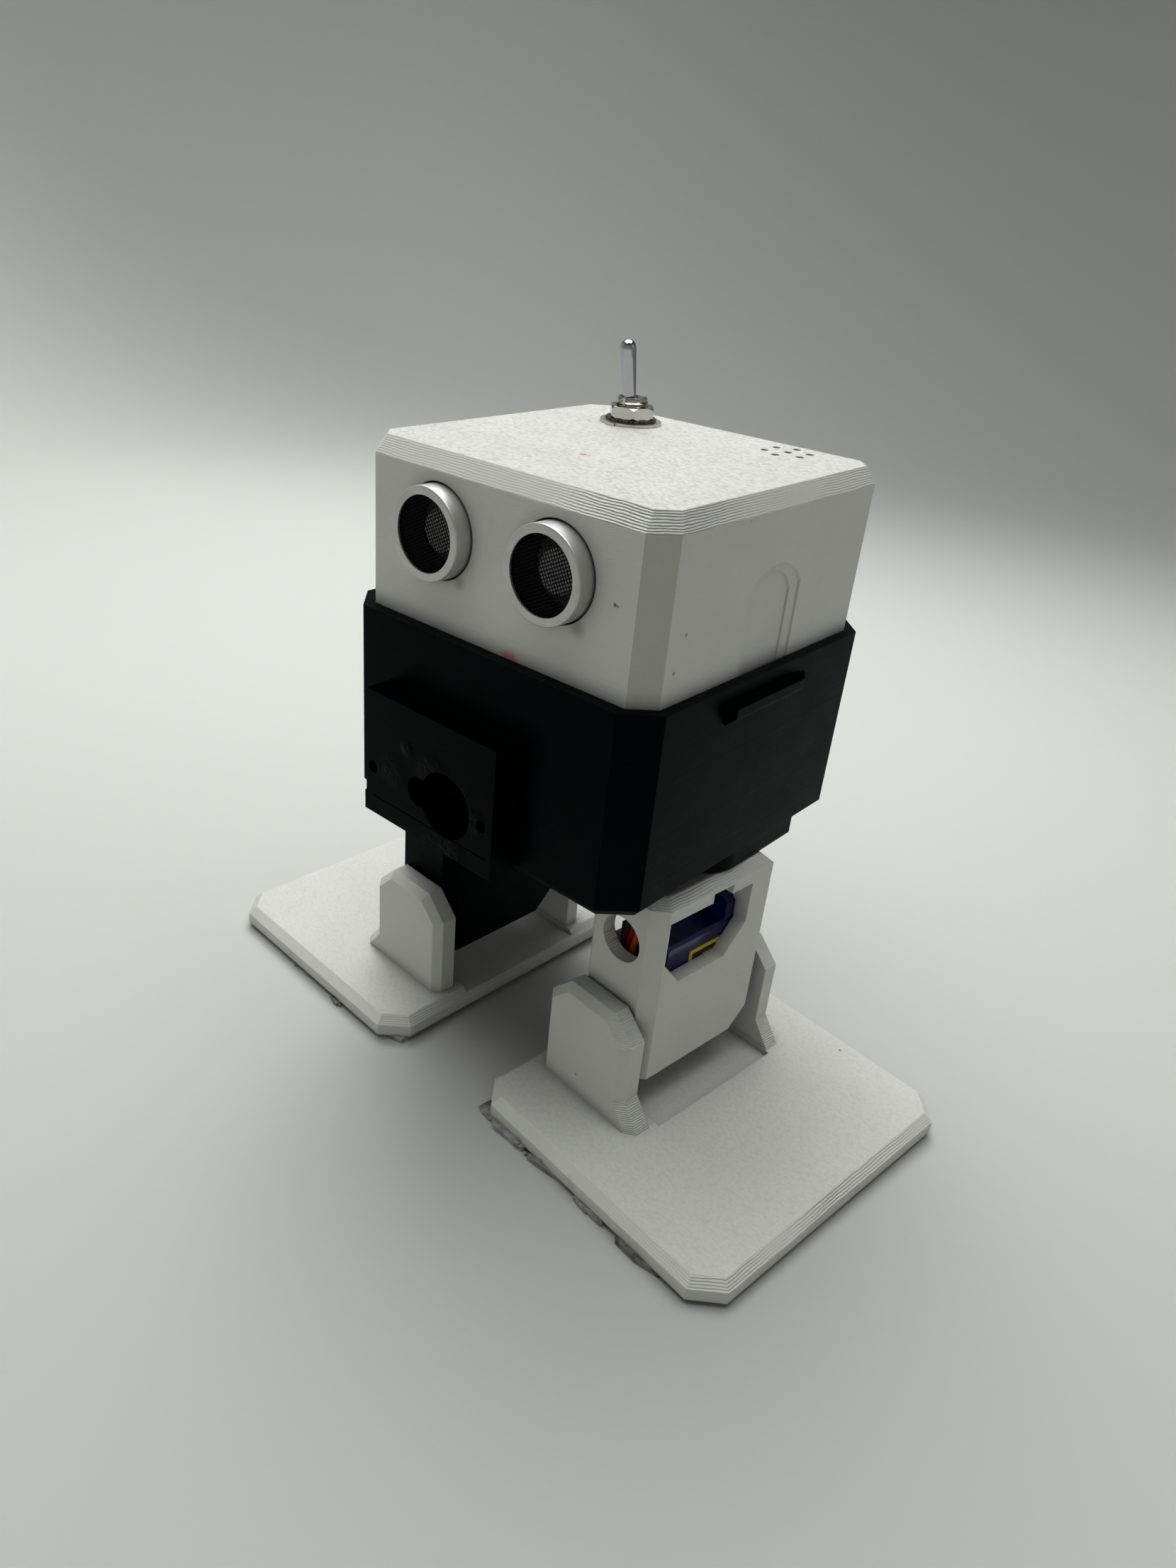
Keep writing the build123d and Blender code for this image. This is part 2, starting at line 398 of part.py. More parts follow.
    # foot: plate, two uprights, front pin
    fx0, fx1, fy0, fy1 = FOOT
    plate_out = cut_rect(fx0, fx1, fy0, fy1, FOOT_CUT, FOOT_CUT)
    b = PLATE_BEVEL
    plate_in = cut_rect(fx0 + b, fx1 - b, fy0 + b, fy1 - b, FOOT_CUT - 0.586 * b, FOOT_CUT - 0.586 * b)
    foot = slab(plate_out, PLATE_LO, PLATE_RIDGE) + taper(plate_out, PLATE_RIDGE, plate_in, PLATE_TOP)
    foot -= box(fx0 - 1, 15.1, -18.0, 15.5, PLATE_TOP - 1.1, PLATE_TOP + 1)
    up = [(-11.57, PLATE_TOP - 1), (14.3, PLATE_TOP - 1), (14.3, PLATE_TOP), (10.23, PLATE_TOP + 5.5), (10.23, UP_TOP - 5.0),
          (5.23, UP_TOP), (-6.57, UP_TOP), (-11.57, UP_TOP - 5.0)]
    for (u0, u1), outer in ((UP_FRONT, -1), (UP_REAR, 1)):
        part = slab_xz(up, u0, u1)
        ends = part.faces().sort_by(Axis.Y)
        f = ends[0] if outer < 0 else ends[-1]
        part = chamfer([e for e in f.edges() if e.center().Z > PLATE_TOP + 0.5], 1.6)
        foot += part
    foot += cyl_y(m, ANKLE_Z, UP_FRONT[1] - 0.5, UP_FRONT[1] + 3.3, PIN_R)
    # recess for the horn in the rear upright and the hole for its screw
    foot -= cyl_y(m, ANKLE_Z, UP_REAR[0] - 1, UP_REAR[0] + 3.0, 3.6)
    foot -= slab_xz([(m - 3.2, ANKLE_Z), (m - 2.2, ANKLE_Z - 14), (m + 2.2, ANKLE_Z - 14), (m + 3.2, ANKLE_Z)], UP_REAR[0] - 1, UP_REAR[0] + 3.0)
    foot -= cyl_y(m, ANKLE_Z - 14, UP_REAR[0] - 1, UP_REAR[0] + 3.0, 2.2)
    foot -= cyl_y(m, ANKLE_Z, UP_REAR[0], UP_REAR[1] + 1, 2.6)
    keep("foot_" + word, leg_at * own(foot))
    down = Plane(origin=(side * m, ANKLE_FACE_Y, ANKLE_Z), x_dir=(0, 0, -1), z_dir=(0, 1, 0)).location
    keep("ankle_shaft_" + word, servo_shaft(), leg_at * ankle)
    keep("ankle_horn_" + word, servo_horn(14.0), leg_at * down)
    keep("ankle_horn_screw_" + word, horn_screw(), leg_at * down)
    # grip pads: rough-cut pieces under the plate, a little proud of its front edge
    if side > 0:
        pads = [slab([(-10.6, -38.6), (-7.2, -40.6), (-1.2, -40.0), (0.4, -38.0), (1.4, -24), (-11.8, -22)], 0, PLATE_LO),
                slab([(2.6, -40.2), (7.0, -39.6), (12.0, -38.4), (13.2, -23.5), (4.0, -24.5)], 0, PLATE_LO),
                slab([(24.6, -38.4), (26.2, -40.0), (31.0, -40.1), (35.6, -39.0), (36.8, -22), (25.0, -23)], 0, PLATE_LO),
                slab([(-11.5, 12), (12, 11), (13, 30.5), (-11, 30)], 0, PLATE_LO),
                slab([(24, 13), (43.5, 12), (43, 28), (25, 30.5)], 0, PLATE_LO)]
    else:
        pads = [slab([(-14.2, -36.2), (-8.6, -38.2), (10.4, -38.0), (11.4, -23), (-12.8, -22)], 0, PLATE_LO),
                slab([(22.6, -38.2), (40.8, -38.4), (43.8, -34.0), (43.6, -21), (23.0, -22)], 0, PLATE_LO),
                slab([(-12, 12), (12.5, 11.5), (12.0, 31), (-10, 30)], 0, PLATE_LO),
                slab([(23, 12.5), (44, 13), (42.5, 29), (24, 30)], 0, PLATE_LO)]
    keep("grip_pads_" + word, leg_at * own(group(*pads)))

keep("hip_servo_screws", group(*screws))

# ---------------------------------------------------------------- write
for name, shape in PARTS.items():
    export_step(shape, "parts/" + name + ".step")
boxes = [s.bounding_box() for s in PARTS.values()]
lo = [min(getattr(b.min, k) for b in boxes) for k in "XYZ"]
hi = [max(getattr(b.max, k) for b in boxes) for k in "XYZ"]
print(len(PARTS), "nodes; low", [round(v, 3) for v in lo], "high", [round(v, 3) for v in hi])
print("footprint middle", round((lo[0] + hi[0]) / 2, 3), round((lo[1] + hi[1]) / 2, 3))
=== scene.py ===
import bpy
import bmesh
import json
import math
from mathutils import Matrix, Vector


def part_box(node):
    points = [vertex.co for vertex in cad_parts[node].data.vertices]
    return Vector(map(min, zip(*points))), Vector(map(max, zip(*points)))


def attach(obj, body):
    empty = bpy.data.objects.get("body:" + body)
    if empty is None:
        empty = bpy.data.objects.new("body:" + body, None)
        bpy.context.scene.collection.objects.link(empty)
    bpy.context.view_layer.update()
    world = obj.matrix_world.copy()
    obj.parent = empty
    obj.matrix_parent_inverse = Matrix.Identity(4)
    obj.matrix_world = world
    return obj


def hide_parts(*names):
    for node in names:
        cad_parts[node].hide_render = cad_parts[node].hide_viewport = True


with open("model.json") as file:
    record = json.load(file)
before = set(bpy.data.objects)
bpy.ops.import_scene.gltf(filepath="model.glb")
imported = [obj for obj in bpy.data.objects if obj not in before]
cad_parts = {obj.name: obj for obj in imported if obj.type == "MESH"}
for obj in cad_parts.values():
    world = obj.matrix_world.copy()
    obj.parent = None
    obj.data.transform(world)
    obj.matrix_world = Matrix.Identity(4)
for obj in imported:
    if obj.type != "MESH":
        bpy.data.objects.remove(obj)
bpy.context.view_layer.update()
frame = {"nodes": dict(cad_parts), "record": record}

MM = 0.001
scene = bpy.context.scene
nodes = frame["nodes"]


def spot(*v):
    return Vector(v) * MM


# ------------------------------------------------------------------ node helpers
class Mat:
    def __init__(self, name):
        self.m = bpy.data.materials.new(name)
        self.m.use_nodes = True
        self.t = self.m.node_tree
        self.t.nodes.clear()
        self.out = self.t.nodes.new("ShaderNodeOutputMaterial")
        self.b = self.t.nodes.new("ShaderNodeBsdfPrincipled")
        self.t.links.new(self.b.outputs["BSDF"], self.out.inputs["Surface"])

    def set(self, **kw):
        for k, v in kw.items():
            self.b.inputs[k.replace("_", " ")].default_value = v
        return self

    def n(self, kind, **kw):
        node = self.t.nodes.new(kind)
        for k, v in kw.items():
            setattr(node, k, v)
        return node

    def link(self, a, b):
        self.t.links.new(a, b)

    def pos(self):
        return self.n("ShaderNodeTexCoord").outputs["Object"]

    def scaled(self, vec, s):
        x = self.n("ShaderNodeVectorMath", operation="MULTIPLY")
        self.link(vec, x.inputs[0])
        x.inputs[1].default_value = s if isinstance(s, tuple) else (s, s, s)
        return x.outputs[0]

    def noise(self, vec, scale, detail=3.0, rough=0.55, dist=0.0):
        x = self.n("ShaderNodeTexNoise")
        x.inputs["Scale"].default_value = scale
        x.inputs["Detail"].default_value = detail
        x.inputs["Roughness"].default_value = rough
        x.inputs["Distortion"].default_value = dist
        self.link(vec, x.inputs["Vector"])
        return x.outputs["Fac"]

    def math(self, op, a, b=None, c=None, clamp=False):
        x = self.n("ShaderNodeMath", operation=op, use_clamp=clamp)
        for i, v in enumerate((a, b, c)):
            if v is None:
                continue
            if isinstance(v, (int, float)):
                x.inputs[i].default_value = v
            else:
                self.link(v, x.inputs[i])
        return x.outputs[0]

    def ramp(self, fac, stops, interp="LINEAR"):
        x = self.n("ShaderNodeValToRGB")
        x.color_ramp.interpolation = interp
        e = x.color_ramp.elements
        while len(e) < len(stops):
            e.new(0.5)
        for i, (p, c) in enumerate(stops):
            e[i].position = p
            e[i].color = c if len(c) == 4 else (*c, 1)
        self.link(fac, x.inputs[0])
        return x.outputs["Color"]

    def mix(self, fac, a, b):
        x = self.n("ShaderNodeMix", data_type="RGBA")
        for sock, v in ((x.inputs[0], fac), (x.inputs[6], a), (x.inputs[7], b)):
            if isinstance(v, (int, float)):
                sock.default_value = v
            elif isinstance(v, tuple):
                sock.default_value = v if len(v) == 4 else (*v, 1)
            else:
                self.link(v, sock)
        return x.outputs[2]

    def rng(self, v, a, b, c, d, smooth=False):
        x = self.n("ShaderNodeMapRange")
        if smooth:
            x.interpolation_type = "SMOOTHSTEP"
        self.link(v, x.inputs[0])
        for i, k in enumerate((a, b, c, d)):
            x.inputs[i + 1].default_value = k
        return x.outputs[0]

    def bump(self, height, dist, strength=1.0, normal=None):
        x = self.n("ShaderNodeBump")
        x.inputs["Distance"].default_value = dist
        x.inputs["Strength"].default_value = strength
        self.link(height, x.inputs["Height"])
        if normal is not None:
            self.link(normal, x.inputs["Normal"])
        return x.outputs["Normal"]

    def edge(self, radius, samples=4):
        x = self.n("ShaderNodeBevel", samples=samples)
        x.inputs["Radius"].default_value = radius
        return x.outputs["Normal"]

    def near(self, p, centre, r0, r1):
        """1 inside r0 of a point, 0 outside r1 (millimetres)."""
        d = self.n("ShaderNodeVectorMath", operation="DISTANCE")
        self.link(p, d.inputs[0])
        d.inputs[1].default_value = tuple(c * MM for c in centre)
        return self.rng(d.outputs["Value"], r0 * MM, r1 * MM, 1, 0, True)


def facing(m):
    """How much a surface looks up, and how upright it is."""
    g = m.n("ShaderNodeNewGeometry")
    s = m.n("ShaderNodeSeparateXYZ")
    m.link(g.outputs["True Normal"], s.inputs[0])
    up = m.math("ABSOLUTE", s.outputs[2])
    level = m.rng(up, 0.93, 0.99, 0, 1)
    wall = m.rng(up, 0.0, 0.25, 1, 0)
    slope = m.math("SUBTRACT", 1.0, m.math("ADD", level, wall), clamp=True)
    return level, wall, slope


def printed(name, colour, dark, rough, grain, marks=(), sub=0.0, spec=0.5, line=1.0, steps=1.0, specks=0.5, at=None, soft_edge=0.4, crevice_painted_shade=0.0, edge_painted_highlight=0.004, torn=(), facet_painted_shade=0.0, tint=None):
    """Filament print: layer lines on walls, coarser steps on slopes, a grainy top skin, soft edges."""
    m = Mat(name)
    p = m.pos()
    level, wall, slope = facing(m)
    xyz = m.n("ShaderNodeSeparateXYZ")
    m.link(p, xyz.inputs[0])
    wobble = m.noise(m.scaled(p, (1, 1, 3.0)), 160, 3)
    zz = m.math("ADD", xyz.outputs[2], m.math("MULTIPLY", wobble, 0.0006))
    fine = m.math("SINE", m.math("MULTIPLY", xyz.outputs[2], 2 * math.pi / (0.2 * MM)))
    stair = m.math("SINE", m.math("MULTIPLY", zz, 2 * math.pi / (0.36 * MM)))
    band = m.noise(m.scaled(p, (5, 5, 1100)), 1.0, 2)
    drift = m.noise(m.scaled(p, (30, 30, 240)), 1.0, 2)
    layers = m.math("ADD", m.math("MULTIPLY", fine, 0.06 * line), m.math("MULTIPLY", band, 0.55 * line))
    layers = m.math("ADD", layers, m.math("MULTIPLY", drift, 0.5 * line))
    h = m.math("MULTIPLY", layers, wall)
    # the stairs show where the slicer's steps are long, and fade elsewhere
    patch = m.rng(m.noise(p, 26, 2), 0.42, 0.62, 0.15, 1.0)
    if at:
        patch = m.math("MAXIMUM", m.math("MULTIPLY", patch, 0.22), m.near(p, *at))
    else:
        # strongest on slopes that face sideways
        gn = m.n("ShaderNodeNewGeometry")
        sep = m.n("ShaderNodeSeparateXYZ")
        m.link(gn.outputs["True Normal"], sep.inputs[0])
        patch = m.math("MULTIPLY", patch, m.rng(m.math("ABSOLUTE", sep.outputs[0]), 0.25, 0.6, 0.2, 1.0))
    h = m.math("ADD", h, m.math("MULTIPLY", m.math("MULTIPLY", m.math("MULTIPLY", stair, 0.55 * steps), patch), slope))
    skin = m.noise(p, 1500, 4, 0.65)
    pebble = m.n("ShaderNodeTexVoronoi", feature="SMOOTH_F1")
    m.link(m.scaled(p, (1.0, 1.35, 1.0)), pebble.inputs["Vector"])
    pebble.inputs["Scale"].default_value = 1250
    pebble.inputs["Smoothness"].default_value = 0.6
    rough_top = m.math("ADD", m.math("MULTIPLY", skin, grain), m.math("MULTIPLY", pebble.outputs["Distance"], -1.2 * grain))
    rough_top = m.math("MULTIPLY", rough_top, m.rng(m.noise(p, 55, 3), 0.3, 0.6, 0.45, 1.0))
    h = m.math("ADD", h, m.math("MULTIPLY", rough_top, level))
    h = m.math("ADD", h, m.math("MULTIPLY", skin, 0.22))
    for centre, r0, r1, amount in torn:
        h = m.math("ADD", h, m.math("MULTIPLY", m.math("MULTIPLY", m.noise(p, 700, 4, 0.7), m.near(p, centre, r0, r1)), amount))
    soft = m.edge(soft_edge * MM)
    m.link(m.bump(h, 0.00012, 0.9, soft), m.b.inputs["Normal"])
    # edges: where the softened normal leaves the face's own; the colour is lightened there as a painted highlight
    g = m.n("ShaderNodeNewGeometry")
    dot = m.n("ShaderNodeVectorMath", operation="DOT_PRODUCT")
    m.link(soft, dot.inputs[0])
    m.link(g.outputs["True Normal"], dot.inputs[1])
    edge = m.rng(dot.outputs["Value"], 0.90, 0.995, 1, 0)
    cloud = m.noise(p, 34, 4, 0.6)
    col = m.mix(m.rng(cloud, 0.3, 0.75, 0, 1), dark, colour)
    # painted shade: the hollows between the top skin's grains are painted darker
    pit_painted_shade = m.math("MULTIPLY", m.rng(pebble.outputs["Distance"], 0.35, 0.75, 0, 0.22 * grain), level)
    col = m.mix(pit_painted_shade, col, tuple(c * 0.55 for c in dark))
    grime = m.math("MULTIPLY", m.rng(m.noise(p, 300, 5, 0.7), 0.62, 0.76, 0, 1), 0.16 * specks)
    col = m.mix(grime, col, tuple(c * 0.6 for c in dark))
    dots = m.n("ShaderNodeTexVoronoi", feature="F1")
    m.link(p, dots.inputs["Vector"])
    dots.inputs["Scale"].default_value = 85
    dots.inputs["Randomness"].default_value = 1.0
    few = m.math("GREATER_THAN", m.noise(p, 21, 1), 0.60)
    dust = m.math("MULTIPLY", m.math("MULTIPLY", m.rng(dots.outputs["Distance"], 0.018, 0.035, 1, 0), few), 0.5 * specks)
    col = m.mix(dust, col, (0.16, 0.14, 0.12))
    # painted highlight: edges are painted lighter, as if catching the light
    col = m.mix(m.math("MULTIPLY", edge, 0.5), col, tuple(min(c * 1.12 + edge_painted_highlight, 0.9) for c in colour))
    if facet_painted_shade:
        # painted shade: the narrow corner facets are painted a shade darker and browner, standing in for the light they
        # get less of
        gf = m.n("ShaderNodeNewGeometry")
        sf = m.n("ShaderNodeSeparateXYZ")
        m.link(gf.outputs["True Normal"], sf.inputs[0])
        both = m.math("ABSOLUTE", m.math("MULTIPLY", sf.outputs[0], sf.outputs[1]))
        col = m.mix(m.rng(both, 0.38, 0.47, 0, facet_painted_shade), col, (colour[0] * 0.62, colour[1] * 0.60, colour[2] * 0.56))
    if crevice_painted_shade:
        # painted shade: creases, recesses and contact lines found by ambient occlusion are painted darker
        ao = m.n("ShaderNodeAmbientOcclusion", samples=4)
        ao.inputs["Distance"].default_value = 3.0 * MM
        col = m.mix(m.rng(ao.outputs["AO"], 0.35, 0.95, crevice_painted_shade, 0), col, tuple(c * 0.35 for c in dark))
    for centre, r0, r1, tint, amount in marks:
        col = m.mix(m.math("MULTIPLY", m.near(p, centre, r0, r1), amount), col, tint)
    m.link(col, m.b.inputs["Base Color"])
    r = m.rng(m.noise(p, 120, 3), 0.3, 0.7, rough - 0.05, rough + 0.07)
    m.link(m.math("ADD", r, m.math("MULTIPLY", edge, -0.08)), m.b.inputs["Roughness"])
    m.b.inputs["Specular IOR Level"].default_value = spec
    if tint:
        m.b.inputs["Specular Tint"].default_value = (*tint, 1)
    if sub:
        m.b.inputs["Subsurface Weight"].default_value = sub
        m.b.inputs["Subsurface Radius"].default_value = (0.9, 0.8, 0.7)
        m.b.inputs["Subsurface Scale"].default_value = 0.0012
    return m.m


def metal(name, colour, rough, scratch=(1, 1, 1), amount=0.06, aniso=0.0, bumpy=0.000006, bevel=0.08):
    m = Mat(name)
    m.set(Metallic=1.0, Anisotropic=aniso)
    p = m.pos()
    s = m.noise(m.scaled(p, scratch), 1200, 3, 0.6)
    c = m.noise(p, 160, 3)
    m.link(m.mix(m.rng(c, 0.3, 0.8, 0, 1), tuple(x * 0.86 for x in colour), colour), m.b.inputs["Base Color"])
    m.link(m.rng(s, 0.25, 0.75, max(rough - amount, 0.03), rough + amount), m.b.inputs["Roughness"])
    m.link(m.bump(s, bumpy, 0.6, m.edge(bevel * MM)), m.b.inputs["Normal"])
    return m.m


def moulded(name, colour, rough, coat=0.0, trans=0.0, mottle=0.15, bevel=0.2):
    m = Mat(name)
    p = m.pos()
    c = m.noise(p, 220, 3)
    m.link(m.mix(m.rng(c, 0.3, 0.7, 0, 1), tuple(x * (1 - mottle) for x in colour), colour), m.b.inputs["Base Color"])
    m.link(m.rng(m.noise(p, 700, 2), 0.3, 0.7, rough - 0.04, rough + 0.05), m.b.inputs["Roughness"])
    m.link(m.bump(m.noise(p, 1300, 2), 0.00002, 0.5, m.edge(bevel * MM)), m.b.inputs["Normal"])
    m.b.inputs["Coat Weight"].default_value = coat
    m.b.inputs["Coat Roughness"].default_value = 0.12
    m.b.inputs["Transmission Weight"].default_value = trans
    return m.m


# ------------------------------------------------------------------ materials
WHITE, WHITE_DARK = (0.70, 0.705, 0.675), (0.655, 0.66, 0.63)
BLACK, BLACK_DARK = (0.0004, 0.0018, 0.0027), (0.0002, 0.0010, 0.0016)
RED_INK_AND_GLOW, SCUFF_AND_SHADE = (0.55, 0.10, 0.09), (0.12, 0.11, 0.10)
white_head = printed("white_print_head", WHITE, WHITE_DARK, 0.42, 1.8, sub=0.06, spec=0.4, steps=1.9, specks=0.6,
                     at=((31.0, -26.0, 121.8), 4.0, 24.0), crevice_painted_shade=0.5, facet_painted_shade=0.45, soft_edge=0.35,
                     marks=[((-0.7, -7.1, 123.3), 0.35, 0.9, RED_INK_AND_GLOW, 0.7), ((0.6, -6.9, 123.3), 0.1, 0.6, RED_INK_AND_GLOW, 0.6),
                            # painted glow: the two red spots on the head's lower rim stand in for a red LED's light
                            # showing through the gap; the red spots on the top are a real mark
                            ((4.6, -27.7, 93.2), 0.6, 2.0, (0.75, 0.16, 0.15), 0.6), ((3.2, -27.7, 93.6), 0.2, 1.2, RED_INK_AND_GLOW, 0.35),
                            ((25.0, -27.65, 108.6), 0.12, 0.42, SCUFF_AND_SHADE, 0.9), ((25.5, -27.65, 108.5), 0.05, 0.35, SCUFF_AND_SHADE, 0.7),
                            ((32.8, -19.5, 104.4), 0.1, 0.45, SCUFF_AND_SHADE, 0.6), ((32.8, -21.5, 98.6), 0.1, 0.5, SCUFF_AND_SHADE, 0.6),
                            # painted shadow: the two broad soft dark spots at the lower edge of each eye can stand in
                            # for the cans' shade; the small spots above are real scuffs
                            ((18.2, -27.7, 102.9), 0.3, 2.2, SCUFF_AND_SHADE, 0.35), ((-8.3, -27.7, 102.9), 0.3, 2.0, SCUFF_AND_SHADE, 0.3)])
SMUDGE = (0.20, 0.175, 0.145)
white_print = printed("white_print", WHITE, WHITE_DARK, 0.46, 0.55, sub=0.06, spec=0.35, steps=1.3, specks=1.3, crevice_painted_shade=0.55, soft_edge=0.35,
                      marks=[((27.9, -35.2, 1.6), 0.2, 1.0, SMUDGE, 0.6), ((28.9, -35.3, 1.2), 0.1, 0.8, SMUDGE, 0.5),
                             ((35.4, -35.6, 3.2), 0.2, 1.2, SMUDGE, 0.4), ((36.2, -35.9, 2.4), 0.2, 1.0, SMUDGE, 0.35)])
black_print = printed("black_print", BLACK, BLACK_DARK, 0.30, 0.4, spec=0.06, line=0.5, steps=0.4, specks=0.0, soft_edge=0.25, edge_painted_highlight=0.014,
                      tint=(0.62, 0.90, 1.0),
                      torn=[((-5.0, -35.4, 70.0), 1.5, 5.0, 5.0), ((5.6, -35.4, 65.5), 0.8, 3.2, 4.0), ((-15.5, -35.4, 66.5), 0.8, 4.5, 2.5),
                            ((0.5, -35.4, 57.0), 0.8, 4.0, 3.0), ((-2.0, -34.0, 55.6), 2.0, 7.0, 3.0), ((-12.0, -35.4, 72.5), 0.3, 2.0, 4.0)])
can_metal = metal("sensor_can", (0.66, 0.66, 0.64), 0.40, (1, 8, 1), 0.08)
can_metal.node_tree.nodes["Principled BSDF"].inputs["Metallic"].default_value = 0.8
wire_dark = metal("sensor_wire", (0.02, 0.021, 0.022), 0.45)
core_dark = moulded("sensor_core", (0.004, 0.004, 0.0045), 0.7)
core_plate = moulded("sensor_core_plate", (0.85, 0.85, 0.83), 0.45)
nickel = metal("switch_metal", (0.62, 0.605, 0.575), 0.15, (1, 1, 6), 0.06)
zinc = metal("washer_metal", (0.70, 0.67, 0.62), 0.30)
lever_metal = metal("switch_lever", (0.50, 0.51, 0.54), 0.13, (1, 1, 6), 0.05)
# painted shade: the star washer under the switch nut is given dark metal, standing in for the shade it sits in under
# the nut
star_washer_painted_shade = metal("dark_washer", (0.16, 0.15, 0.14), 0.38)
steel = metal("screw_steel", (0.55, 0.55, 0.56), 0.30)
servo_blue = moulded("servo_blue", (0.003, 0.008, 0.13), 0.18, coat=0.4, trans=0.15, mottle=0.35)
nylon = moulded("nylon_white", (0.80, 0.79, 0.74), 0.40)
black_plastic = moulded("black_plastic", (0.02, 0.02, 0.021), 0.45)
switch_housing = moulded("switch_housing", (0.03, 0.12, 0.42), 0.35)
leads = {"brown": moulded("lead_brown", (0.10, 0.030, 0.014), 0.42),
         "red": moulded("lead_red", (0.30, 0.012, 0.01), 0.40),
         "orange": moulded("lead_orange", (0.62, 0.13, 0.015), 0.40)}
cell_wrap = moulded("cell_wrap", (0.10, 0.11, 0.13), 0.3, coat=0.4)


def foam():
    m = Mat("grip_foam")
    p = m.pos()
    a, b = m.noise(p, 900, 5, 0.7), m.noise(p, 240, 3)
    m.link(m.mix(m.rng(b, 0.35, 0.65, 0, 1), (0.13, 0.13, 0.135), (0.46, 0.46, 0.465)), m.b.inputs["Base Color"])
    m.set(Roughness=0.85)
    m.link(m.bump(a, 0.0003, 1.0), m.b.inputs["Normal"])
    return m.m


def board():
    m = Mat("circuit_board")
    p = m.pos()
    v = m.n("ShaderNodeTexVoronoi", feature="DISTANCE_TO_EDGE", distance="CHEBYCHEV")
    m.link(p, v.inputs["Vector"])
    v.inputs["Scale"].default_value = 420
    track = m.rng(v.outputs["Distance"], 0.03, 0.06, 1, 0)
    m.link(m.mix(track, (0.008, 0.045, 0.16), (0.02, 0.10, 0.30)), m.b.inputs["Base Color"])
    m.set(Roughness=0.28)
    m.link(m.bump(track, 0.00004, 0.6), m.b.inputs["Normal"])
    return m.m


def label(word):
    """Black film with a plain yellow border and a plain block."""
    lo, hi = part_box("servo_label_" + word)
    mid = (lo + hi) / 2
    m = Mat("label_" + word)
    p = m.pos()
    s = m.n("ShaderNodeSeparateXYZ")
    m.link(p, s.inputs[0])
    dz = m.math("ABSOLUTE", m.math("SUBTRACT", s.outputs[2], mid.z))
    dy = m.math("ABSOLUTE", m.math("SUBTRACT", s.outputs[1], mid.y))
    hz, hy = (hi.z - lo.z) / 2, (hi.y - lo.y) / 2
    rim = m.math("MAXIMUM", m.math("GREATER_THAN", dz, hz - 0.9 * MM), m.math("GREATER_THAN", dy, hy - 0.9 * MM))
    block = m.math("MULTIPLY", m.math("LESS_THAN", m.math("ABSOLUTE", m.math("SUBTRACT", s.outputs[2], hi.z - 3.1 * MM)), 1.1 * MM),
                   m.math("LESS_THAN", m.math("ABSOLUTE", m.math("SUBTRACT", s.outputs[1], mid.y - 0.1 * MM)), 1.5 * MM))
    bar = m.math("MULTIPLY", m.math("LESS_THAN", m.math("ABSOLUTE", m.math("SUBTRACT", s.outputs[2], mid.z - 1.0 * MM)), 0.5 * MM),
                 m.math("LESS_THAN", dy, 3.2 * MM))
    f = m.math("MAXIMUM", rim, m.math("MAXIMUM", block, bar))
    m.link(m.mix(f, (0.012, 0.012, 0.012), (0.62, 0.55, 0.03)), m.b.inputs["Base Color"])
    m.set(Roughness=0.3)
    return m.m


foam_mat, board_mat = foam(), board()
SLOTS = {
    "sensor_can": can_metal, "circuit_board": board_mat, "switch_housing": switch_housing,
    "switch_metal": nickel, "washer_metal": zinc, "dark_washer": star_washer_painted_shade,
    "black_plastic": black_plastic, "cell_wrap": cell_wrap, "servo_blue": servo_blue,
    "screw_steel": steel, "nylon_white": nylon, "white_print": white_print,
    "black_print": black_print, "grip_foam": foam_mat, "sensor_mesh": wire_dark,
}
slot_of = {s["node"]: s["material_slot"] for s in frame["record"]["subparts"]}
for name, obj in nodes.items():
    if name == "head_shell":
        mat = white_head
    elif name == "toggle_lever":
        mat = lever_metal
    elif name.startswith("servo_label_"):
        mat = label(name.split("_")[-1])
    elif name.startswith("lead_"):
        mat = leads[name.split("_")[1]]
    else:
        mat = SLOTS[slot_of[name]]
    obj.data.materials.clear()
    obj.data.materials.append(mat)


# ------------------------------------------------------------------ mesh helpers
def mesh_piece(name, verts, faces, mat, body, smooth=True, replaces=()):
    me = bpy.data.meshes.new(name)
    me.from_pydata(verts, [], faces)
    me.validate()
    bm = bmesh.new()
    bm.from_mesh(me)
    bmesh.ops.recalc_face_normals(bm, faces=bm.faces)
    bm.to_mesh(me)
    bm.free()
    for poly in me.polygons:
        poly.use_smooth = smooth
    me.materials.append(mat)
    o = bpy.data.objects.new(name, me)
    scene.collection.objects.link(o)
    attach(o, body)
    if replaces:
        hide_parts(*replaces)
    return o


def tube_along(points, r, sides=6):
    """Vertices and faces of a closed tube that follows points."""
    verts, faces = [], []
    n = len(points)
    up = Vector((0, 1, 0))
    for i, p in enumerate(points):
        d = (points[min(i + 1, n - 1)] - points[max(i - 1, 0)]).normalized()
        a = d.cross(up).normalized()
        b = d.cross(a).normalized()
        for k in range(sides):
            t = 2 * math.pi * k / sides
            verts.append(p + a * (r * math.cos(t)) + b * (r * math.sin(t)))
    for i in range(n - 1):
        for k in range(sides):
            j = (k + 1) % sides
            faces.append((i * sides + k, i * sides + j, (i + 1) * sides + j, (i + 1) * sides + k))
    faces.append(tuple(range(sides)))
    faces.append(tuple((n - 1) * sides + k for k in range(sides)))
    return verts, faces


def gather(parts):
    verts, faces = [], []
    for v, f in parts:
        o = len(verts)
        verts += v
        faces += [tuple(i + o for i in q) for q in f]
    return verts, faces


